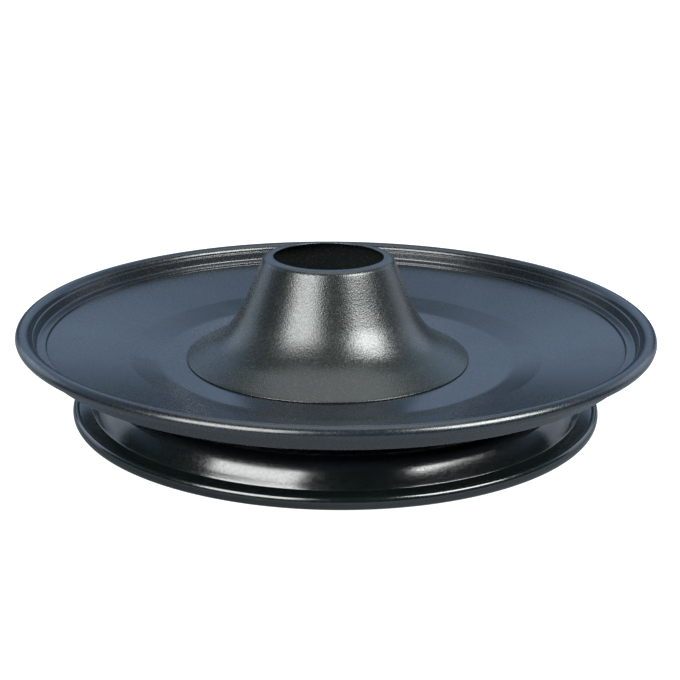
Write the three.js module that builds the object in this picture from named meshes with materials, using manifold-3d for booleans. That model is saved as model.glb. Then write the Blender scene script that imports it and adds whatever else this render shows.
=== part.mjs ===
// Banding wheel: a low two-deck turntable. A rimmed head turns on a pressed base through a
// ball bearing ring, and a spun sheet cone stands loose on the middle of the head.
// Millimetres, +Z up. The origin is the centre of the base, on the table it stands on.

import * as THREE from "three";
import * as BufferGeometryUtils from "three/addons/utils/BufferGeometryUtils.js";
import Module from "manifold-3d";

const wasm = await Module();
wasm.setup();

// ---------- driving dimensions ----------

const RING_STEPS = 48; // facets round every large ring
const HOLE_STEPS = 12; // facets round screws, studs and their holes
const GAP = 0.3; // clearance between neighbouring pieces

// Head
const HEAD_R = 150; // over the bead
const HEAD_TOP = 45; // top of the bead
const HEAD_HOLE_R = 52;
const HEAD_BEAD_WIDTH = 7.2;
const HEAD_BEAD_HEIGHT = 4.6;
const RIM_LOW = 31.5; // lower edge of the rim's outer wall
const LEDGE_TOP = 36.9; // flat ledge inside the rim
const RIM_FOOT_R = 140.6; // foot of the rim's steep inner wall
const DISH_EDGE_R = 134.6; // outer edge of the dished floor, at the foot of the ledge
const DISH_EDGE_TOP = 35.2;
const STEP_R = 98.6; // where the dish steps down to its flat middle
const STEP_TOP = 28.2;
const FLOOR_R = 84; // flat middle of the floor
const FLOOR_TOP = 24.2;
const FLOOR_THICK = 2.2;
const RACE_PAD_LOW = 23.4; // flat pad under the floor that takes the outer race

// Base
const BASE_R = 125.8; // over the bead
const BASE_SHEET = 1.2;
const BASE_BEAD_WIDTH = 3.5;
const BASE_BEAD_HEIGHT = 5.7;
const BASE_BEAD_Z = 3.05;
const GROOVE_TOP = 5; // bottom of the groove beside the bead, on its upper side
const DOME_FOOT_R = 116.2; // where the dome's wall meets the groove
const DOME_WALL_R = 40; // radius of the slightly bulged wall of the dome, in section
const DOME_WALL_TILTS = [22, 34]; // degrees from upright, at the wall's foot and at its top
const DOME_SHOULDER_R = 7;
const DECK_R = 96.4; // sunken deck inside the dome, seat of the bearing
const DECK_TOP = 12.8;
const DECK_HOLE_R = 46;

// Centre cone
const CONE_TOP = 73.5;
const CONE_HOLE_R = 26.4;
const CONE_FOOT_R = 67.6;
const CONE_SHEET = 0.7;
const CONE_SHIFT = -4; // the loose cone stands a little off the spin axis, along X

// Bearing
const BALL_R = 2.5;
const BALL_COUNT = 16;
const BALL_RING_R = 81.5;
const BALL_Z = 16.4;
const BALL_GROOVE_R = BALL_R + 0.4;
const RACE_CLEAR = 1.5; // from the ball ring to each race's wall
const INNER_RACE_BORE_R = 67;
const INNER_RACE_TOP = 19.8;
const OUTER_RACE_BODY_R = 87;
const OUTER_RACE_R = 97; // over the flange
const OUTER_RACE_FLANGE = 2;
const CAGE_WALL = 1.8;

// Fasteners and feet
const M4_R = 2;
const M4_HOLE_R = M4_R + GAP;
const M4_NUT_FLAT = 3.5; // half the width across flats
const M4_NUT_HEIGHT = 3.2;
const M4_HEAD_R = 3.9;
const M4_HEAD_HEIGHT = 2.4;
const FASTENER_COUNT = 6;
const SCREW_RING_R = 73.5; // base screws into the inner race
const STUD_RING_R = 91.5; // weld studs under the head's floor
const FOOT_COUNT = 6;
const FOOT_RING_R = 119;
const FOOT_R = 1.9;
const FOOT_THICK = GROOVE_TOP - BASE_SHEET - GAP;
const FOOT_STRETCH = 3.4; // length of a foot over its width

// ---------- materials ----------

const coating = new THREE.MeshStandardMaterial({ color: 0x3c4247, roughness: 0.45, metalness: 0.5 });
const darkCoating = new THREE.MeshStandardMaterial({ color: 0x2c3033, roughness: 0.3, metalness: 0.5 });
const steel = new THREE.MeshStandardMaterial({ color: 0xb4b6b8, roughness: 0.3, metalness: 1 });
const polished = new THREE.MeshStandardMaterial({ color: 0xd8dadc, roughness: 0.12, metalness: 1 });
const zinc = new THREE.MeshStandardMaterial({ color: 0x9fa3a6, roughness: 0.4, metalness: 0.9 });
const nylon = new THREE.MeshStandardMaterial({ color: 0xd6d2c4, roughness: 0.6, metalness: 0 });
const rubber = new THREE.MeshStandardMaterial({ color: 0x141414, roughness: 0.9, metalness: 0 });

// ---------- helpers ----------

const wheel = new THREE.Group();

// Adds one named mesh.
function addPiece(name, geometry, material) {
  const mesh = new THREE.Mesh(geometry, material);
  mesh.name = name;
  wheel.add(mesh);
  return mesh;
}

// Evenly spaced angles for a ring of identical pieces.
function ringAngles(count, first = 0) {
  return Array.from({ length: count }, (_, i) => first + (i * 2 * Math.PI) / count);
}

// Places copies of one geometry round a ring, each as its own named piece.
function addRing(prefix, geometry, material, ringR, height, angles) {
  angles.forEach((angle, i) => {
    const mesh = addPiece(`${prefix}_${i + 1}`, geometry, material);
    mesh.position.set(ringR * Math.cos(angle), ringR * Math.sin(angle), height);
    mesh.rotation.z = angle;
  });
}

// The point at a distance from another in the [radius, height] plane, angle in degrees.
function reach([r, z], distance, degrees) {
  const angle = THREE.MathUtils.degToRad(degrees);
  return [r + distance * Math.cos(angle), z + distance * Math.sin(angle)];
}

// Points on an oval arc in the [radius, height] plane, angles in degrees.
function arc([centreR, centreZ], reachR, reachZ, start, end, steps) {
  return Array.from({ length: steps + 1 }, (_, i) => {
    const angle = THREE.MathUtils.degToRad(start + ((end - start) * i) / steps);
    return [centreR + reachR * Math.cos(angle), centreZ + reachZ * Math.sin(angle)];
  });
}

// Turns a closed [radius, height] outline into a ring about Z, its faces pointing out.
function revolve(outline) {
  const points = outline.map(([r, z]) => new THREE.Vector2(r, z));
  if (THREE.ShapeUtils.isClockWise(points)) {
    points.reverse();
  }
  points.push(points[0].clone());
  return new THREE.LatheGeometry(points, RING_STEPS).rotateX(Math.PI / 2);
}

// Gives a sheet its thickness: the outline of a path and of its offset to the right.
function pressedSheet(path, thickness) {
  const points = path.map(([r, z]) => new THREE.Vector2(r, z));
  const under = points.map((point, i) => {
    const before = points[Math.max(i - 1, 0)];
    const after = points[Math.min(i + 1, points.length - 1)];
    const along = after.clone().sub(before).normalize();
    return [point.x + along.y * thickness, point.y - along.x * thickness];
  });
  return [...path, ...under.reverse()];
}

// The oval section of a bead: eight flats that touch the oval.
function beadOutline(centreR, centreZ, width, height) {
  const sides = 8;
  const toCorner = 0.5 / Math.cos(Math.PI / sides);
  const half = 180 / sides;
  return arc([centreR, centreZ], width * toCorner, height * toCorner, half, 360 - half, sides - 1);
}

// Turns a geometry into a manifold solid.
function toSolid(geometry) {
  const bare = geometry.clone();
  bare.deleteAttribute("normal");
  bare.deleteAttribute("uv");
  const merged = BufferGeometryUtils.mergeVertices(bare, 1e-4);
  const vertProperties = new Float32Array(merged.attributes.position.array);
  const triVerts = new Uint32Array(merged.index.array);
  return new wasm.Manifold(new wasm.Mesh({ numProp: 3, vertProperties, triVerts }));
}

// Turns a manifold solid back into a geometry.
function toGeometry(solid) {
  const mesh = solid.getMesh();
  const geometry = new THREE.BufferGeometry();
  geometry.setAttribute("position", new THREE.BufferAttribute(mesh.vertProperties, 3));
  geometry.setIndex(new THREE.BufferAttribute(mesh.triVerts, 1));
  geometry.computeVertexNormals();
  return geometry;
}

// An upright cylinder on the ring, from one height to another, that cuts a screw hole.
function drill(ringR, angle, low, high) {
  return new THREE.CylinderGeometry(M4_HOLE_R, M4_HOLE_R, high - low, HOLE_STEPS)
    .rotateX(Math.PI / 2)
    .translate(ringR * Math.cos(angle), ringR * Math.sin(angle), (low + high) / 2);
}

// Cuts a list of tools out of a solid.
function cut(solid, tools) {
  return toGeometry(tools.reduce((left, tool) => left.subtract(toSolid(tool)), solid));
}

const screwAngles = ringAngles(FASTENER_COUNT, Math.PI / 6);
const studAngles = ringAngles(FASTENER_COUNT, Math.PI / 24);
const ballAngles = ringAngles(BALL_COUNT);
const footAngles = ringAngles(FOOT_COUNT, Math.PI / 6);

// ---------- base ----------

// An inverted pressed dish: sunken deck, dome, groove and rolled bead.
const [footTilt, topTilt] = DOME_WALL_TILTS;
const wallCentre = reach([DOME_FOOT_R, GROOVE_TOP + 1], -DOME_WALL_R, footTilt);
const shoulderCentre = reach(wallCentre, DOME_WALL_R - DOME_SHOULDER_R, topTilt);
const domeTop = shoulderCentre[1] + DOME_SHOULDER_R;
const baseSheet = pressedSheet(
  [
    [DECK_HOLE_R, DECK_TOP],
    [DECK_R, DECK_TOP],
    [DECK_R + 2.2, domeTop - 0.4],
    [DECK_R + 4, domeTop],
    ...arc(shoulderCentre, DOME_SHOULDER_R, DOME_SHOULDER_R, 90, topTilt, 3),
    ...arc(wallCentre, DOME_WALL_R, DOME_WALL_R, topTilt, footTilt, 2).slice(1),
    [DOME_FOOT_R + 1, GROOVE_TOP],
    [DOME_FOOT_R + 4.6, GROOVE_TOP],
    [BASE_R - 2.2, BASE_BEAD_Z + 0.6],
  ],
  BASE_SHEET,
);
const baseBead = beadOutline(BASE_R - BASE_BEAD_WIDTH / 2, BASE_BEAD_Z, BASE_BEAD_WIDTH, BASE_BEAD_HEIGHT);
const deckDrills = screwAngles.map((angle) => drill(SCREW_RING_R, angle, 0, DECK_TOP + 1));
const basePan = toSolid(revolve(baseSheet)).add(toSolid(revolve(baseBead)));
addPiece("base_pan", cut(basePan, deckDrills), darkCoating);

// Thin rubber pads under the groove, the only pieces that touch the table.
const foot = new THREE.CylinderGeometry(FOOT_R - 0.2, FOOT_R, FOOT_THICK, 16)
  .rotateX(Math.PI / 2)
  .scale(1, FOOT_STRETCH, 1);
addRing("foot_pad", foot, rubber, FOOT_RING_R, FOOT_THICK / 2, footAngles);

// ---------- bearing: inner race, screwed to the base ----------

// The ball groove in a race's wall, listed upwards.
function ballGroove(wallR) {
  const side = Math.sign(wallR - BALL_RING_R);
  const half = THREE.MathUtils.radToDeg(Math.acos(RACE_CLEAR / BALL_GROOVE_R));
  return arc([BALL_RING_R, BALL_Z], side * BALL_GROOVE_R, BALL_GROOVE_R, -half, half, 4);
}

const innerRaceWall = BALL_RING_R - RACE_CLEAR;
const innerRaceLow = DECK_TOP + GAP;
const innerRace = revolve([
  [INNER_RACE_BORE_R, innerRaceLow],
  [innerRaceWall, innerRaceLow],
  ...ballGroove(innerRaceWall),
  [innerRaceWall, INNER_RACE_TOP],
  [INNER_RACE_BORE_R, INNER_RACE_TOP],
]);
const screwTip = INNER_RACE_TOP - 1.2;
const screwDrills = screwAngles.map((angle) => drill(SCREW_RING_R, angle, 0, screwTip + GAP));
addPiece("inner_race", cut(toSolid(innerRace), screwDrills), steel);

// Pan-head screws, fitted from below through the deck.
const screwSeat = DECK_TOP - BASE_SHEET - GAP;
const screwSection = [
  [0, screwSeat - M4_HEAD_HEIGHT],
  [M4_HEAD_R - 0.9, screwSeat - M4_HEAD_HEIGHT],
  [M4_HEAD_R, screwSeat - M4_HEAD_HEIGHT / 2],
  [M4_HEAD_R, screwSeat],
  [M4_R, screwSeat],
  [M4_R, screwTip],
  [0, screwTip],
].map(([r, z]) => new THREE.Vector2(r, z));
const screw = new THREE.LatheGeometry(screwSection, HOLE_STEPS).rotateX(Math.PI / 2);
addRing("base_screw", screw, zinc, SCREW_RING_R, 0, screwAngles);

// ---------- bearing: outer race, bolted under the head ----------

const outerRaceWall = BALL_RING_R + RACE_CLEAR;
const outerRaceLow = DECK_TOP + 0.8;
const outerRaceTop = RACE_PAD_LOW - GAP;
const raceFlangeLow = outerRaceTop - OUTER_RACE_FLANGE;
const outerRace = revolve([
  [outerRaceWall, outerRaceLow],
  [OUTER_RACE_BODY_R, outerRaceLow],
  [OUTER_RACE_BODY_R, raceFlangeLow],
  [OUTER_RACE_R, raceFlangeLow],
  [OUTER_RACE_R, outerRaceTop],
  [outerRaceWall, outerRaceTop],
  ...ballGroove(outerRaceWall).reverse(),
]);
const studDrills = studAngles.map((angle) => drill(STUD_RING_R, angle, DECK_TOP, FLOOR_TOP));
addPiece("outer_race", cut(toSolid(outerRace), studDrills), steel);

// Weld studs under the floor, and the nuts that clamp the outer race to it.
const studLow = DECK_TOP + 3.4;
const stud = new THREE.CylinderGeometry(M4_R, M4_R, outerRaceTop - studLow, HOLE_STEPS).rotateX(Math.PI / 2);
addRing("race_stud", stud, zinc, STUD_RING_R, (outerRaceTop + studLow) / 2, studAngles);

const nutCorner = M4_NUT_FLAT / Math.cos(Math.PI / 6);
const nutShape = new THREE.Shape(
  ringAngles(6).map((angle) => new THREE.Vector2(nutCorner * Math.cos(angle), nutCorner * Math.sin(angle))),
);
nutShape.holes.push(new THREE.Path().absarc(0, 0, M4_HOLE_R, 0, 2 * Math.PI, true));
const nut = new THREE.ExtrudeGeometry(nutShape, {
  depth: M4_NUT_HEIGHT,
  bevelEnabled: false,
  curveSegments: HOLE_STEPS,
});
addRing("race_nut", nut, zinc, STUD_RING_R, raceFlangeLow - GAP - M4_NUT_HEIGHT, studAngles);

// ---------- bearing: cage and balls ----------

// The pockets are open at the cage's lower edge, so that it snaps over the balls.
const cageLow = BALL_Z - 2.4;
const cageTop = BALL_Z + 3.8;
const cageRing = revolve([
  [BALL_RING_R - CAGE_WALL / 2, cageLow],
  [BALL_RING_R + CAGE_WALL / 2, cageLow],
  [BALL_RING_R + CAGE_WALL / 2, cageTop],
  [BALL_RING_R - CAGE_WALL / 2, cageTop],
]);
const pockets = ballAngles.map((angle) =>
  new THREE.CylinderGeometry(BALL_R + GAP, BALL_R + GAP, 3 * CAGE_WALL, HOLE_STEPS)
    .rotateZ(Math.PI / 2)
    .translate(BALL_RING_R, 0, BALL_Z)
    .rotateZ(angle),
);
addPiece("ball_cage", cut(toSolid(cageRing), pockets), nylon);

const ball = new THREE.SphereGeometry(BALL_R, 8, 6).rotateX(Math.PI / 2);
addRing("ball", ball, polished, BALL_RING_R, BALL_Z, ballAngles);

// ---------- head ----------

// A cast tray: bead, sloping wall, ledge and dished floor, whose flat middle carries the cone.
const floorUnder = FLOOR_TOP - FLOOR_THICK;
const tray = revolve([
  [HEAD_HOLE_R, floorUnder],
  [OUTER_RACE_BODY_R - 6.4, floorUnder],
  [OUTER_RACE_BODY_R - 5, RACE_PAD_LOW],
  [OUTER_RACE_R + 1, RACE_PAD_LOW],
  [OUTER_RACE_R + 3, RACE_PAD_LOW + 2.2],
  [DISH_EDGE_R - 4.6, RIM_LOW],
  [DISH_EDGE_R + 3.8, RIM_LOW],
  [DISH_EDGE_R + 5.3, RIM_LOW + 0.9],
  [HEAD_R - 5.4, RIM_LOW + 8.9],
  [HEAD_R - 4, HEAD_TOP - 2],
  [HEAD_R - HEAD_BEAD_WIDTH + 0.4, HEAD_TOP - 2.2],
  [RIM_FOOT_R + 1.3, HEAD_TOP - 3.6],
  [RIM_FOOT_R + 0.4, LEDGE_TOP + 0.7],
  [RIM_FOOT_R, LEDGE_TOP],
  [DISH_EDGE_R + 2, LEDGE_TOP],
  [DISH_EDGE_R + 1.6, DISH_EDGE_TOP + 0.2],
  [STEP_R, STEP_TOP],
  [FLOOR_R, FLOOR_TOP],
  [HEAD_HOLE_R, FLOOR_TOP],
]);
const headBead = revolve(
  beadOutline(
    HEAD_R - HEAD_BEAD_WIDTH / 2,
    HEAD_TOP - HEAD_BEAD_HEIGHT / 2,
    HEAD_BEAD_WIDTH,
    HEAD_BEAD_HEIGHT,
  ),
);
addPiece("wheel_head", toGeometry(toSolid(tray).add(toSolid(headBead))), coating);

// ---------- centre cone ----------

// A spun sheet cone, open at the top, with a rounded lip and a flared foot.
const coneFootTop = FLOOR_TOP + GAP + CONE_SHEET;
const coneSide = new THREE.SplineCurve([
  new THREE.Vector2(31.6, CONE_TOP - 2.6),
  new THREE.Vector2(36.6, CONE_TOP - 15.3),
  new THREE.Vector2(40.2, CONE_TOP - 23.5),
  new THREE.Vector2(44.2, CONE_TOP - 30.1),
  new THREE.Vector2(49.4, CONE_TOP - 36.7),
  new THREE.Vector2(57, CONE_TOP - 42.9),
  new THREE.Vector2(CONE_FOOT_R, coneFootTop),
]);
const conePath = [
  [CONE_HOLE_R, CONE_TOP],
  [CONE_HOLE_R + 3, CONE_TOP - 0.4],
  ...coneSide.getPoints(8).map((point) => [point.x, point.y]),
];
addPiece("centre_cone", revolve(pressedSheet(conePath, CONE_SHEET)), coating).position.x = CONE_SHIFT;

export default wheel;
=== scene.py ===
import math

import bmesh
import bpy
from mathutils import Matrix, Vector


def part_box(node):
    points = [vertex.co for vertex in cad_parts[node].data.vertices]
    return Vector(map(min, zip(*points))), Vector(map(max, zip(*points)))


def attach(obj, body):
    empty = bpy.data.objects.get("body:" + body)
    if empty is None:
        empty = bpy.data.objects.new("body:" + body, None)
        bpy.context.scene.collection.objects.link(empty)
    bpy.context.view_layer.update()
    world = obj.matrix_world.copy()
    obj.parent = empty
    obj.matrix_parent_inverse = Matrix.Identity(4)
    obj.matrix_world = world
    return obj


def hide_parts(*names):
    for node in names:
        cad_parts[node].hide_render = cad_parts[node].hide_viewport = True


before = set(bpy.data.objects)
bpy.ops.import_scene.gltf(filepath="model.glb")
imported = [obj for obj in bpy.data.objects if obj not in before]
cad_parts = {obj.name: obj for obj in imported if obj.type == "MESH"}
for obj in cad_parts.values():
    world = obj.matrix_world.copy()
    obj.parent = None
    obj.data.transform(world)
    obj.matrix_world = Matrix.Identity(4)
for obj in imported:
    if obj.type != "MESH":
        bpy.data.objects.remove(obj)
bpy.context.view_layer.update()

MM = 0.001
RING_STEPS = 288  # facets round the large smooth pieces
FINE_STEP = 1.6  # longest stretch of an outline, in mm
GRAIN_SCALE = 1500.0  # the coating's grain is about 0.7 mm


# ---------- sizes in mm, from the CAD parts ------

def half_width(node):
    low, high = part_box(node)
    return (high.x - low.x) / 2 / MM


def lowest(node):
    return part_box(node)[0].z / MM


def highest(node):
    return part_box(node)[1].z / MM


def middle(node):
    """The centre of a CAD node's box, in metres."""
    low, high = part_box(node)
    return (low + high) / 2


HEAD_R = half_width("wheel_head")
HEAD_TOP = highest("wheel_head")
HEAD_HOLE_R = 52.0
HEAD_BEAD = 3.4  # radius of the bead's round outer half
HEAD_BEAD_IN = 3.9  # reach of its flatter inner half
FLOOR_UNDER = lowest("wheel_head")
FLOOR_THICK = 2.2
FLOOR_TOP = FLOOR_UNDER + FLOOR_THICK
RACE_PAD_LOW = FLOOR_UNDER + 1.4
RIM_LOW = 31.5
LEDGE_TOP = 36.9
RIM_FOOT_R = 140.9  # foot of the rim's steep inner wall

BASE_R = half_width("base_pan")
BASE_LOW = lowest("base_pan")
BASE_BEAD = (1.75, 2.85)  # half its width and half its height
BASE_SHEET = 1.2
DOME_TOP = highest("base_pan")
DOME_WALL_R = 40.0  # radius of the bulged wall, in section
DOME_WALL_TILTS = (22, 34)  # degrees from upright at its foot and at its top
DOME_SHOULDER_R = 7.0
DECK_TOP = lowest("inner_race") - 0.3  # the CAD's gap under the race
DECK_HOLE_R = 46.0
DOME_FOOT_R = 116.2  # where the dome's wall meets the groove
GROOVE_TOP = 5.0

CONE_R = half_width("centre_cone")
CONE_TOP = highest("centre_cone")
CONE_SHEET = 0.7
CONE_HOLE_R = 26.4

BALL_R = half_width("ball_1")
BALL_RING_R = middle("ball_1").x / MM
BALL_Z = middle("ball_1").z / MM
BALL_GROOVE_R = BALL_R + 0.4
RACE_CLEAR = 1.5  # from the ball ring to each race's wall
INNER_RACE_BORE_R = 67.0
OUTER_RACE_BODY_R = 87.0
RACE_FLANGE = 2.0

STUD_R = 2.0
THREAD_PITCH = 0.7
THREAD_DEPTH = 0.35
STUD_MARK_R = 6.0  # faint sink marks over the weld studs
STUD_MARK_DEPTH = 0.16
COUNT = 6  # studs, nuts, screws and pads
PAD_R = 1.9  # half a foot pad's width
PAD_STRETCH = 3.4  # a foot pad's length over its width
STUD_PLACES = [tuple(middle(f"race_stud_{i + 1}").xy / MM) for i in range(COUNT)]
STUD_RING_R = math.hypot(*STUD_PLACES[0])


# ---------- outlines, as (r, z) points ----------

def reach(start, distance, degrees):
    """The point at a distance from another, in section."""
    angle = math.radians(degrees)
    return (start[0] + distance * math.cos(angle), start[1] + distance * math.sin(angle))


def arc(centre, reach_r, reach_z, start, end, steps):
    """Points on an oval arc, angles in degrees."""
    points = []
    for i in range(steps + 1):
        angle = math.radians(start + (end - start) * i / steps)
        points.append((centre[0] + reach_r * math.cos(angle), centre[1] + reach_z * math.sin(angle)))
    return points


def sharp(points):
    """Points that keep their corners in rounded()."""
    return [(r, z, 0) for r, z in points]


def rounded(corners, closed=True, steps=6):
    """Rounds an outline of (r, z, radius) corners."""
    points = []
    count = len(corners)
    for i, (r, z, radius) in enumerate(corners):
        if radius == 0 or (not closed and i in (0, count - 1)):
            points.append((r, z))
            continue
        here = Vector((r, z))
        back = Vector(corners[i - 1][:2]) - here
        ahead = Vector(corners[(i + 1) % count][:2]) - here
        half = back.angle(ahead) / 2
        trim = min(radius / math.tan(half), 0.48 * back.length, 0.48 * ahead.length)
        start = here + back.normalized() * trim
        end = here + ahead.normalized() * trim
        for k in range(steps + 1):
            t = k / steps
            point = start * (1 - t) ** 2 + here * 2 * t * (1 - t) + end * t**2
            points.append((point.x, point.y))
    return points


def refined(outline, closed=True, longest=FINE_STEP):
    """Splits long stretches, so that smooth shading stays true next to a fillet."""
    points = []
    count = len(outline)
    for i in range(count if closed else count - 1):
        start = Vector(outline[i])
        end = Vector(outline[(i + 1) % count])
        pieces = max(1, math.ceil((end - start).length / longest))
        for k in range(pieces):
            points.append(tuple(start.lerp(end, k / pieces)))
    if not closed:
        points.append(tuple(outline[-1]))
    return points


def signed_area(outline):
    total = 0.0
    for i, (r, z) in enumerate(outline):
        next_r, next_z = outline[(i + 1) % len(outline)]
        total += r * next_z - next_r * z
    return total


def sheet_section(path, thickness):
    """The outline of a sheet with round edges, from the path of its right-hand face."""
    other = []
    for i, (r, z) in enumerate(path):
        before = Vector(path[max(i - 1, 0)])
        after = Vector(path[min(i + 1, len(path) - 1)])
        along = (after - before).normalized()
        other.append((r - along.y * thickness, z + along.x * thickness))
    outline = list(path)
    for here, there in ((path[-1], other[-1]), (other[0], path[0])):
        centre = ((here[0] + there[0]) / 2, (here[1] + there[1]) / 2)
        start = math.degrees(math.atan2(here[1] - centre[1], here[0] - centre[0]))
        outline += arc(centre, thickness / 2, thickness / 2, start, start + 180, 6)[1:-1]
        if here == path[-1]:
            outline += other[::-1]
    return outline


# ---------- meshes ----------

def new_object(name, vertices, faces, smooth=True):
    mesh = bpy.data.meshes.new(name)
    mesh.from_pydata(vertices, [], faces)
    if smooth:
        mesh.shade_smooth()
    piece = bpy.data.objects.new(name, mesh)
    bpy.context.scene.collection.objects.link(piece)
    return piece


def merge_doubles(piece):
    """Joins the points that fall together on the axis, and drops the faces that vanish."""
    work = bmesh.new()
    work.from_mesh(piece.data)
    bmesh.ops.remove_doubles(work, verts=work.verts, dist=1e-7)
    bmesh.ops.dissolve_degenerate(work, edges=work.edges, dist=1e-7)
    work.to_mesh(piece.data)
    work.free()


def revolve(name, section, steps=RING_STEPS, lift=None, centre=(0, 0, 0), sharp_angle=None):
    """Turns a closed outline about Z.

    section is the outline, or a function that gives it for an angle; lift(r, angle, z) moves a
    point up. Both are in mm; centre is in metres.
    """
    vertices = []
    for s in range(steps):
        angle = 2 * math.pi * s / steps
        outline = section(angle) if callable(section) else section
        if signed_area(outline) < 0:
            outline = outline[::-1]
        for r, z in outline:
            up = lift(r, angle, z) if lift else 0.0
            vertices.append((
                centre[0] + r * math.cos(angle) * MM,
                centre[1] + r * math.sin(angle) * MM,
                centre[2] + (z + up) * MM,
            ))
    count = len(vertices) // steps
    faces = []
    for s in range(steps):
        here, there = s * count, ((s + 1) % steps) * count
        for i in range(count):
            j = (i + 1) % count
            faces.append((here + i, there + i, there + j, here + j))
    piece = new_object(name, vertices, faces)
    merge_doubles(piece)
    if sharp_angle:
        piece.data.set_sharp_from_angle(angle=math.radians(sharp_angle))
    return piece


def mount(piece, body, slot, material, *nodes):
    """Puts a finished piece on its body, in place of its CAD nodes."""
    piece.data.materials.append(material)
    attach(piece, body)
    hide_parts(*nodes)
    return piece


# ---------- materials ----------

class Nodes:
    """A material's node tree with short ways to add and join nodes."""

    def __init__(self, name):
        self.material = bpy.data.materials.new(name)
        self.material.use_nodes = True
        self.tree = self.material.node_tree
        self.shader = self.tree.nodes["Principled BSDF"]
        self.place = self.add("ShaderNodeTexCoord").outputs["Object"]

    def add(self, kind, **settings):
        node = self.tree.nodes.new(kind)
        for key, value in settings.items():
            setattr(node, key, value)
        return node

    def join(self, source, target):
        self.tree.links.new(source, target)

    def noise(self, scale, detail=2.0, roughness=0.5, place=None):
        node = self.add("ShaderNodeTexNoise")
        node.inputs["Scale"].default_value = scale
        node.inputs["Detail"].default_value = detail
        node.inputs["Roughness"].default_value = roughness
        self.join(place or self.place, node.inputs["Vector"])
        return node.outputs["Fac"]

    def cells(self, scale):
        node = self.add("ShaderNodeTexVoronoi")
        node.inputs["Scale"].default_value = scale
        self.join(self.place, node.inputs["Vector"])
        return node

    def spread(self, source, low, high, to_low, to_high):
        node = self.add("ShaderNodeMapRange", interpolation_type="SMOOTHSTEP")
        node.inputs["From Min"].default_value = low
        node.inputs["From Max"].default_value = high
        node.inputs["To Min"].default_value = to_low
        node.inputs["To Max"].default_value = to_high
        self.join(source, node.inputs["Value"])
        return node.outputs["Result"]

    def mix(self, amount, first, second):
        """Mixes two colours, or two colour outputs, by an output."""
        node = self.add("ShaderNodeMix", data_type="RGBA")
        self.join(amount, node.inputs["Factor"])
        for socket, value in ((node.inputs["A"], first), (node.inputs["B"], second)):
            if isinstance(value, tuple):
                socket.default_value = (*value, 1.0)
            else:
                self.join(value, socket)
        return node.outputs["Result"]

    def math(self, operation, first, second):
        node = self.add("ShaderNodeMath", operation=operation)
        for socket, value in zip(node.inputs, (first, second)):
            if isinstance(value, (int, float)):
                socket.default_value = value
            else:
                self.join(value, socket)
        return node.outputs["Value"]

    def bump(self, height, distance):
        node = self.add("ShaderNodeBump")
        node.inputs["Strength"].default_value = 1.0
        node.inputs["Distance"].default_value = distance
        self.join(height, node.inputs["Height"])
        return node.outputs["Normal"]


def coating(name, dark, light, fleck, roughness, grain_depth, specular):
    """Sprayed graphite coating: fine raised grain, faint flecks and slow changes of gloss."""
    nodes = Nodes(name)
    shader = nodes.shader
    cloud = nodes.noise(16.0, detail=3.0)
    body = nodes.mix(nodes.spread(cloud, 0.35, 0.68, 0.0, 1.0), dark, light)
    flakes = nodes.add("ShaderNodeSeparateColor")
    nodes.join(nodes.cells(GRAIN_SCALE).outputs["Color"], flakes.inputs["Color"])
    shine = nodes.spread(flakes.outputs["Red"], 0.75, 1.0, 0.0, 1.0)
    nodes.join(nodes.mix(shine, body, fleck), shader.inputs["Base Color"])
    gloss = nodes.spread(cloud, 0.3, 0.7, roughness + 0.02, roughness - 0.02)
    speckle = nodes.spread(flakes.outputs["Green"], 0.0, 1.0, -0.04, 0.04)
    nodes.join(nodes.math("ADD", gloss, speckle), shader.inputs["Roughness"])
    shader.inputs["Specular IOR Level"].default_value = specular
    grain = nodes.noise(GRAIN_SCALE, detail=1.5, roughness=0.6)
    nodes.join(nodes.bump(grain, grain_depth * MM), shader.inputs["Normal"])
    return nodes.material


def turned_steel(name, colour, roughness, ring_scale=900.0):
    """Machined steel with fine marks that run round the Z axis."""
    nodes = Nodes(name)
    shader = nodes.shader
    split = nodes.add("ShaderNodeSeparateXYZ")
    nodes.join(nodes.place, split.inputs["Vector"])
    across = nodes.math("MULTIPLY", split.outputs["X"], split.outputs["X"])
    along = nodes.math("MULTIPLY", split.outputs["Y"], split.outputs["Y"])
    radius = nodes.math("SQRT", nodes.math("ADD", across, along), 0.0)
    join = nodes.add("ShaderNodeCombineXYZ")
    nodes.join(radius, join.inputs["X"])
    nodes.join(split.outputs["Z"], join.inputs["Y"])
    marks = nodes.noise(ring_scale, detail=3.0, place=join.outputs["Vector"])
    stain = nodes.noise(60.0, detail=3.0)
    shade = nodes.mix(nodes.spread(stain, 0.3, 0.7, 0.0, 1.0), tuple(0.82 * c for c in colour), colour)
    nodes.join(shade, shader.inputs["Base Color"])
    nodes.join(nodes.spread(marks, 0.3, 0.7, roughness - 0.06, roughness + 0.08), shader.inputs["Roughness"])
    shader.inputs["Metallic"].default_value = 1.0
    nodes.join(nodes.bump(marks, 0.01 * MM), shader.inputs["Normal"])
    return nodes.material


def moulded(name, dark, light, roughness, grain=500.0, depth=0.03):
    """Moulded nylon or rubber: slight clouding and a fine matte grain."""
    nodes = Nodes(name)
    shader = nodes.shader
    cloud = nodes.noise(90.0, detail=3.0)
    nodes.join(nodes.mix(nodes.spread(cloud, 0.3, 0.7, 0.0, 1.0), dark, light), shader.inputs["Base Color"])
    fine = nodes.noise(grain, detail=3.0)
    nodes.join(nodes.spread(fine, 0.3, 0.7, roughness - 0.06, roughness + 0.06), shader.inputs["Roughness"])
    nodes.join(nodes.bump(fine, depth * MM), shader.inputs["Normal"])
    return nodes.material


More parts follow.
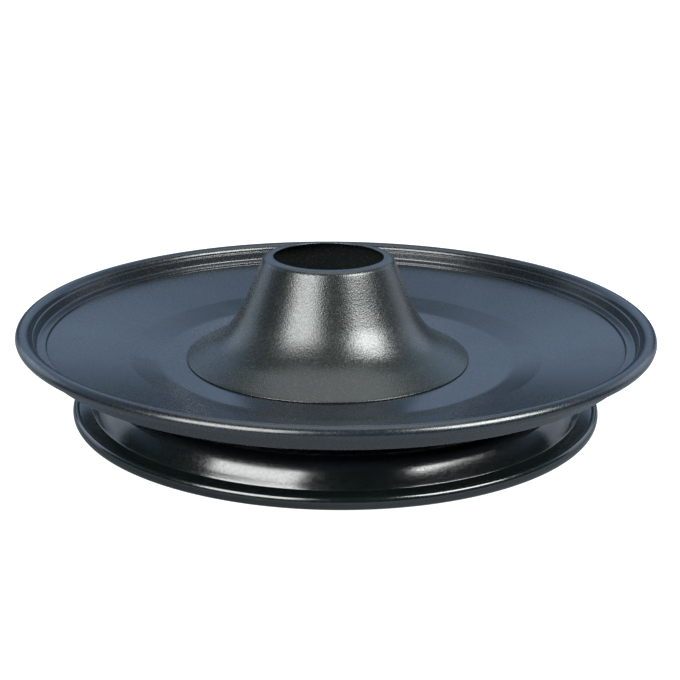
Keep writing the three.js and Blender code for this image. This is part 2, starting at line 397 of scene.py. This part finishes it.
def make_materials():
    return {
        "head": coating(
            "head_coating",
            dark=(0.006, 0.008, 0.011),
            light=(0.009, 0.012, 0.016),
            fleck=(0.014, 0.017, 0.021),
            roughness=0.25,
            grain_depth=0.004,
            specular=0.7,
        ),
        "base": coating(
            "base_coating",
            dark=(0.003, 0.005, 0.005),
            light=(0.005, 0.008, 0.008),
            fleck=(0.010, 0.013, 0.013),
            roughness=0.17,
            grain_depth=0.015,
            specular=0.8,
        ),
        "cone": coating(
            "cone_coating",
            dark=(0.010, 0.012, 0.012),
            light=(0.014, 0.017, 0.016),
            fleck=(0.022, 0.026, 0.024),
            roughness=0.26,
            grain_depth=0.09,
            specular=0.7,
        ),
        "race": turned_steel("race_steel", (0.52, 0.53, 0.54), 0.28),
        "ball": turned_steel("ball_steel", (0.75, 0.76, 0.78), 0.12, 300.0),
        "zinc": turned_steel("zinc_steel", (0.55, 0.56, 0.56), 0.34, 1600.0),
        "nylon": moulded("cage_nylon", (0.62, 0.59, 0.50), (0.72, 0.69, 0.60), 0.55),
        "rubber": moulded("pad_rubber", (0.012, 0.012, 0.012), (0.022, 0.022, 0.022), 0.8, 900.0, 0.05),
    }


# ---------- the head ----------

def stud_marks(r, angle, z):
    """The faint sink marks that the weld studs leave on the upper side of the floor."""
    if z < FLOOR_TOP - 0.3 or r > STUD_RING_R + 3 * STUD_MARK_R:
        return 0.0
    total = 0.0
    for stud_x, stud_y in STUD_PLACES:
        gap = math.hypot(r * math.cos(angle) - stud_x, r * math.sin(angle) - stud_y)
        total -= STUD_MARK_DEPTH * math.exp(-((gap / STUD_MARK_R) ** 2))
    return total


def make_head(materials):
    centre = (HEAD_R - HEAD_BEAD, HEAD_TOP - HEAD_BEAD)
    corners = [
        (HEAD_HOLE_R, FLOOR_UNDER, 0.4),
        (HEAD_HOLE_R, FLOOR_TOP, 0.4),
        (84, FLOOR_TOP, 14),
        (98.6, 28.1, 6),
        (136.2, 35.5, 0.4),
        (136.5, LEDGE_TOP, 0.4),
        (RIM_FOOT_R, LEDGE_TOP, 1.1),
        (141.8, 41.2, 0.4),
        *sharp(arc(centre, HEAD_BEAD_IN, HEAD_BEAD, 184, 90, 14)),
        *sharp(arc(centre, HEAD_BEAD, HEAD_BEAD, 90, 0, 14)[1:]),
        (149.7, 40.5, 0.8),
        (148.2, 40.1, 0.4),
        (144.4, 40.6, 0.3),
        (139.9, 32.6, 1.4),
        (137.6, RIM_LOW, 1.2),
        (130, RIM_LOW, 3),
        (OUTER_RACE_BODY_R + 13, RACE_PAD_LOW + 2.2, 3),
        (OUTER_RACE_BODY_R + 11, RACE_PAD_LOW, 0.5),
        (OUTER_RACE_BODY_R - 5, RACE_PAD_LOW, 0.5),
        (OUTER_RACE_BODY_R - 6.4, FLOOR_UNDER, 0.5),
    ]
    head = revolve("head_shell", refined(rounded(corners)), lift=stud_marks)
    mount(head, "head", "head_coating", materials["head"], "wheel_head")


# ---------- the cone ----------

def make_cone(materials):
    corners = [
        (CONE_HOLE_R, CONE_TOP, 0),
        (30.8, CONE_TOP - 0.2, 4.5),
        (37.5, CONE_TOP - 17.3, 200),
        (42.9, CONE_TOP - 29.1, 200),
        (51.3, CONE_TOP - 39.5, 200),
        (CONE_R, FLOOR_TOP + CONE_SHEET + 0.05, 0),
    ]
    path = refined(rounded(corners, closed=False, steps=16), closed=False)
    centre = middle("centre_cone")
    cone = revolve("cone_shell", sheet_section(path[::-1], CONE_SHEET), centre=(centre.x, centre.y, 0))
    mount(cone, "cone", "cone_coating", materials["cone"], "centre_cone")


# ---------- the base ----------

def make_base(materials):
    foot_tilt, top_tilt = DOME_WALL_TILTS
    wall = reach((DOME_FOOT_R, GROOVE_TOP + 1), -DOME_WALL_R, foot_tilt)
    shoulder = reach(wall, DOME_WALL_R - DOME_SHOULDER_R, top_tilt)
    outer, inner = DOME_SHOULDER_R, DOME_SHOULDER_R - BASE_SHEET
    wall_in = DOME_WALL_R - BASE_SHEET
    bead = (BASE_R - BASE_BEAD[0], BASE_LOW + BASE_BEAD[1])
    corners = [
        (DECK_HOLE_R, DECK_TOP, 0.4),
        (96.2, DECK_TOP, 1.5),
        (99.4, DOME_TOP, 2),
        *sharp(arc(shoulder, outer, outer, 90, top_tilt, 10)),
        *sharp(arc(wall, DOME_WALL_R, DOME_WALL_R, top_tilt, foot_tilt, 6)[1:]),
        (DOME_FOOT_R + 0.5, GROOVE_TOP, 0.6),
        (BASE_R - 3.1, GROOVE_TOP, 0.3),
        *sharp(arc(bead, *BASE_BEAD, 142, -190, 32)),
        (BASE_R - 5, GROOVE_TOP - BASE_SHEET, 0.4),
        (DOME_FOOT_R - 0.7, GROOVE_TOP - BASE_SHEET, 0.6),
        *sharp(arc(wall, wall_in, wall_in, foot_tilt, top_tilt, 6)),
        *sharp(arc(shoulder, inner, inner, top_tilt, 90, 10)[1:]),
        (100.2, DOME_TOP - BASE_SHEET, 2),
        (97.0, DECK_TOP - BASE_SHEET, 1.5),
        (DECK_HOLE_R, DECK_TOP - BASE_SHEET, 0.4),
    ]
    base = revolve("base_shell", refined(rounded(corners)))
    mount(base, "base", "base_coating", materials["base"], "base_pan")


def make_pads(materials):
    """Oval rubber pads with a rounded edge."""
    for i in range(COUNT):
        node = f"foot_pad_{i + 1}"
        centre = middle(node)
        turn = math.atan2(centre.y, centre.x)
        low, high = lowest(node), highest(node)
        outline = rounded([(0, low, 0), (PAD_R - 0.15, low, 0.3), (PAD_R, high, 0.3), (0, high, 0)])
        pad = revolve(f"pad_{i + 1}", outline, steps=32)
        stretch = Matrix.Diagonal((1, PAD_STRETCH, 1, 1))
        place = Matrix.Translation((centre.x, centre.y, 0)) @ Matrix.Rotation(turn, 4, "Z") @ stretch
        pad.data.transform(place)
        mount(pad, "base", "rubber", materials["rubber"], node)


# ---------- the bearing ----------

def ball_groove(wall_r):
    """The ball groove in a race's wall, listed upwards."""
    side = 1 if wall_r > BALL_RING_R else -1
    half = math.degrees(math.acos(RACE_CLEAR / BALL_GROOVE_R))
    return sharp(arc((BALL_RING_R, BALL_Z), side * BALL_GROOVE_R, BALL_GROOVE_R, -half, half, 16))


def make_races(materials):
    low, high = lowest("inner_race"), highest("inner_race")
    wall_r = BALL_RING_R - RACE_CLEAR
    inner = [
        (INNER_RACE_BORE_R, low, 0.4),
        (wall_r, low, 0.4),
        *ball_groove(wall_r),
        (wall_r, high, 0.4),
        (INNER_RACE_BORE_R, high, 0.4),
    ]
    race = revolve("inner_race_ring", refined(rounded(inner, steps=3), longest=3))
    mount(race, "base", "race_steel", materials["race"], "inner_race")

    low, high, rim_r = lowest("outer_race"), highest("outer_race"), half_width("outer_race")
    wall_r = BALL_RING_R + RACE_CLEAR
    outer = [
        (wall_r, low, 0.4),
        (OUTER_RACE_BODY_R, low, 0.4),
        (OUTER_RACE_BODY_R, high - RACE_FLANGE, 0.4),
        (rim_r, high - RACE_FLANGE, 0.4),
        (rim_r, high, 0.4),
        (wall_r, high, 0.4),
        *ball_groove(wall_r)[::-1],
    ]
    race = revolve("outer_race_ring", refined(rounded(outer, steps=3), longest=3))
    mount(race, "head", "race_steel", materials["race"], "outer_race")


def make_balls(materials):
    outline = arc((0, 0), BALL_R, BALL_R, -90, 90, 16)
    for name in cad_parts:
        if name.startswith("ball_") and name != "ball_cage":
            ball = revolve(name.replace("ball", "bearing_ball"), outline, steps=32, centre=middle(name))
            mount(ball, "cage", "ball_steel", materials["ball"], name)


def hex_reach(flat, angle):
    """How far a hexagon's side is from its centre at an angle, from half the width across flats."""
    side = math.pi / 3
    return flat / math.cos((angle + side / 2) % side - side / 2)


def threads(low, high):
    """A thread's ridges between two heights, listed upwards."""
    count = round((high - low) / THREAD_PITCH * 2)
    return [
        (STUD_R - (THREAD_DEPTH if i % 2 else 0), low + (high - low) * i / count)
        for i in range(count + 1)
    ]


def make_studs_and_nuts(materials):
    chamfer_r, flat, hole_r = 3.45, 3.5, STUD_R + 0.1
    for i in range(COUNT):
        node = f"race_stud_{i + 1}"
        low, high = lowest(node), highest(node)
        centre = (middle(node).x, middle(node).y, 0)
        outline = [(0, low), (STUD_R - 0.5, low), *threads(low + 0.5, high), (0, high)]
        stud = revolve(f"weld_stud_{i + 1}", outline, steps=24, centre=centre, sharp_angle=35)
        mount(stud, "head", "zinc_steel", materials["zinc"], node)

        node = f"race_nut_{i + 1}"
        low, high = lowest(node), highest(node)

        def nut_section(angle):
            side_r = hex_reach(flat, angle)
            fall = (side_r - chamfer_r) * math.tan(math.radians(30))
            return [
                (hole_r, low + 0.3),
                (hole_r + 0.3, low),
                (chamfer_r, low),
                (side_r, low + fall),
                (side_r, high - fall),
                (chamfer_r, high),
                (hole_r + 0.3, high),
                (hole_r, high - 0.3),
            ]

        nut = revolve(f"hex_nut_{i + 1}", nut_section, steps=48, centre=centre, sharp_angle=25)
        mount(nut, "head", "zinc_steel", materials["zinc"], node)


def make_screws(materials):
    head_r, head_height, socket_flat, socket_depth = 3.9, 2.4, 1.25, 1.3
    for i in range(COUNT):
        node = f"base_screw_{i + 1}"
        low, high = lowest(node), highest(node)
        centre = (middle(node).x, middle(node).y, 0)
        crown = arc((head_r - 1.5, low + 1.5), 1.5, 1.5, -90, 0, 5)

        def screw_section(angle):
            socket_r = hex_reach(socket_flat, angle)
            return [
                (0, low + socket_depth + 0.4),
                (socket_r, low + socket_depth),
                (socket_r, low + 0.15),
                (socket_r + 0.15, low),
                *crown,
                (head_r, low + head_height),
                (STUD_R, low + head_height),
                (STUD_R, high - 0.5),
                (STUD_R - 0.5, high),
                (0, high),
            ]

        screw = revolve(f"pan_screw_{i + 1}", screw_section, steps=48, centre=centre, sharp_angle=35)
        mount(screw, "base", "zinc_steel", materials["zinc"], node)


def make_cage(materials):
    """The cage keeps its CAD shape, with its edges eased."""
    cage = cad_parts["ball_cage"]
    cage.data.materials.clear()
    cage.data.materials.append(materials["nylon"])
    edge = cage.modifiers.new("edge", "BEVEL")
    edge.width = 0.15 * MM
    edge.segments = 2
    edge.limit_method = "ANGLE"
    edge.angle_limit = math.radians(40)


# ---------- camera, lights and stage ----------

CAMERA_PLACE = Vector((0.0, -0.6079, 0.2268))  # metres
CAMERA_DIP = 17.79  # degrees, as the next two
CAMERA_YAW = 0.17
CAMERA_ROLL = 0.576
CAMERA_LENS = 70.2  # mm, on a sensor 36 mm wide


def make_camera():
    data = bpy.data.cameras.new("camera")
    data.lens = CAMERA_LENS
    data.sensor_width = 36.0
    data.clip_start = 0.01
    camera = bpy.data.objects.new("camera", data)
    bpy.context.scene.collection.objects.link(camera)
    look = Matrix.Rotation(math.radians(-CAMERA_YAW), 4, "Z")
    look @= Matrix.Rotation(math.radians(90 - CAMERA_DIP), 4, "X")
    look @= Matrix.Rotation(math.radians(CAMERA_ROLL), 4, "Z")
    camera.matrix_world = Matrix.Translation(CAMERA_PLACE) @ look
    bpy.context.scene.camera = camera


def make_softbox(name, azimuth, elevation, distance, width, height, power, colour=(0.96, 1.0, 0.98)):
    """A rectangular light that faces the object; azimuth 0 is the camera's side, + is to its right."""
    data = bpy.data.lights.new(name, "AREA")
    data.shape = "RECTANGLE"
    data.size = width
    data.size_y = height
    data.energy = power
    data.color = colour
    light = bpy.data.objects.new(name, data)
    bpy.context.scene.collection.objects.link(light)
    a, e = math.radians(azimuth), math.radians(elevation)
    away = Vector((math.sin(a) * math.cos(e), -math.cos(a) * math.cos(e), math.sin(e)))
    target = Vector((0, 0, 0.04))
    light.location = target + away * distance
    light.rotation_euler = (-away).to_track_quat("-Z", "Y").to_euler()


# The lit wall behind: how its light grows with a direction's Y and Z, and fades again overhead.
WALL_RAMPS = (
    ("Y", -0.25, 0.9, 0.02, 0.95),
    ("Z", 0.12, 0.32, 0.04, 1.0),
    ("Z", 0.55, 0.85, 1.0, 0.10),
)


def make_world():
    """White for the camera; a cool bright wall behind and a dim room in front for everything else."""
    world = bpy.data.worlds.new("studio")
    world.use_nodes = True
    bpy.context.scene.world = world
    tree = world.node_tree
    output = tree.nodes["World Output"]
    seen = tree.nodes["Background"]
    seen.inputs["Color"].default_value = (1, 1, 1, 1)
    seen.inputs["Strength"].default_value = 1.0
    room = tree.nodes.new("ShaderNodeBackground")
    place = tree.nodes.new("ShaderNodeTexCoord")
    split = tree.nodes.new("ShaderNodeSeparateXYZ")
    tree.links.new(place.outputs["Generated"], split.inputs["Vector"])
    strength = None
    for axis, low, high, darkest, brightest in WALL_RAMPS:
        ramp = tree.nodes.new("ShaderNodeMapRange")
        ramp.interpolation_type = "SMOOTHSTEP"
        ramp.inputs["From Min"].default_value = low
        ramp.inputs["From Max"].default_value = high
        ramp.inputs["To Min"].default_value = darkest
        ramp.inputs["To Max"].default_value = brightest
        tree.links.new(split.outputs[axis], ramp.inputs["Value"])
        if strength is None:
            strength = ramp.outputs["Result"]
            continue
        product = tree.nodes.new("ShaderNodeMath")
        product.operation = "MULTIPLY"
        tree.links.new(strength, product.inputs[0])
        tree.links.new(ramp.outputs["Result"], product.inputs[1])
        strength = product.outputs["Value"]
    room.inputs["Color"].default_value = (0.50, 0.70, 1.0, 1)
    tree.links.new(strength, room.inputs["Strength"])
    rays = tree.nodes.new("ShaderNodeLightPath")
    choose = tree.nodes.new("ShaderNodeMixShader")
    tree.links.new(rays.outputs["Is Camera Ray"], choose.inputs["Fac"])
    tree.links.new(room.outputs["Background"], choose.inputs[1])
    tree.links.new(seen.outputs["Background"], choose.inputs[2])
    tree.links.new(choose.outputs["Shader"], output.inputs["Surface"])


def make_floor():
    """A pale table: white for the camera, dimmer in what it throws back at the object."""
    side = 4.0
    corners = [(-side, -side, 0), (side, -side, 0), (side, side, 0), (-side, side, 0)]
    floor = new_object("floor", corners, [(0, 1, 2, 3)], smooth=False)
    floor.location.z = -0.0002
    nodes = Nodes("floor_paper")
    cloud = nodes.noise(3.0, detail=2.0)
    shade = nodes.mix(nodes.spread(cloud, 0.3, 0.7, 0.0, 1.0), (0.27, 0.30, 0.34), (0.29, 0.32, 0.36))
    nodes.join(shade, nodes.shader.inputs["Base Color"])
    nodes.shader.inputs["Roughness"].default_value = 0.9
    nodes.shader.inputs["Specular IOR Level"].default_value = 0.1
    nodes.shader.inputs["Emission Color"].default_value = (1, 1, 1, 1)
    rays = nodes.add("ShaderNodeLightPath")
    nodes.join(rays.outputs["Is Camera Ray"], nodes.shader.inputs["Emission Strength"])
    floor.data.materials.append(nodes.material)


def make_stage():
    bpy.context.scene.view_settings.view_transform = "Standard"
    make_camera()
    make_world()
    make_floor()
    make_softbox("softbox_left", -36, 32, 1.2, 0.80, 0.60, 18)
    make_softbox("softbox_right", 56, 39, 1.2, 0.72, 0.47, 20)
    make_softbox("overhead", 180, 78, 1.2, 1.1, 1.1, 5.5, (0.92, 0.97, 1.0))
    make_softbox("strip_left", -122, 12, 1.6, 0.8, 0.9, 2.6, (0.72, 0.84, 1.0))
    make_softbox("strip_right", 122, 12, 1.6, 0.8, 0.9, 2.2, (0.80, 0.86, 1.0))


def main():
    make_stage()
    materials = make_materials()
    make_base(materials)
    make_pads(materials)
    make_head(materials)
    make_cone(materials)
    make_races(materials)
    make_balls(materials)
    make_studs_and_nuts(materials)
    make_screws(materials)
    make_cage(materials)


main()
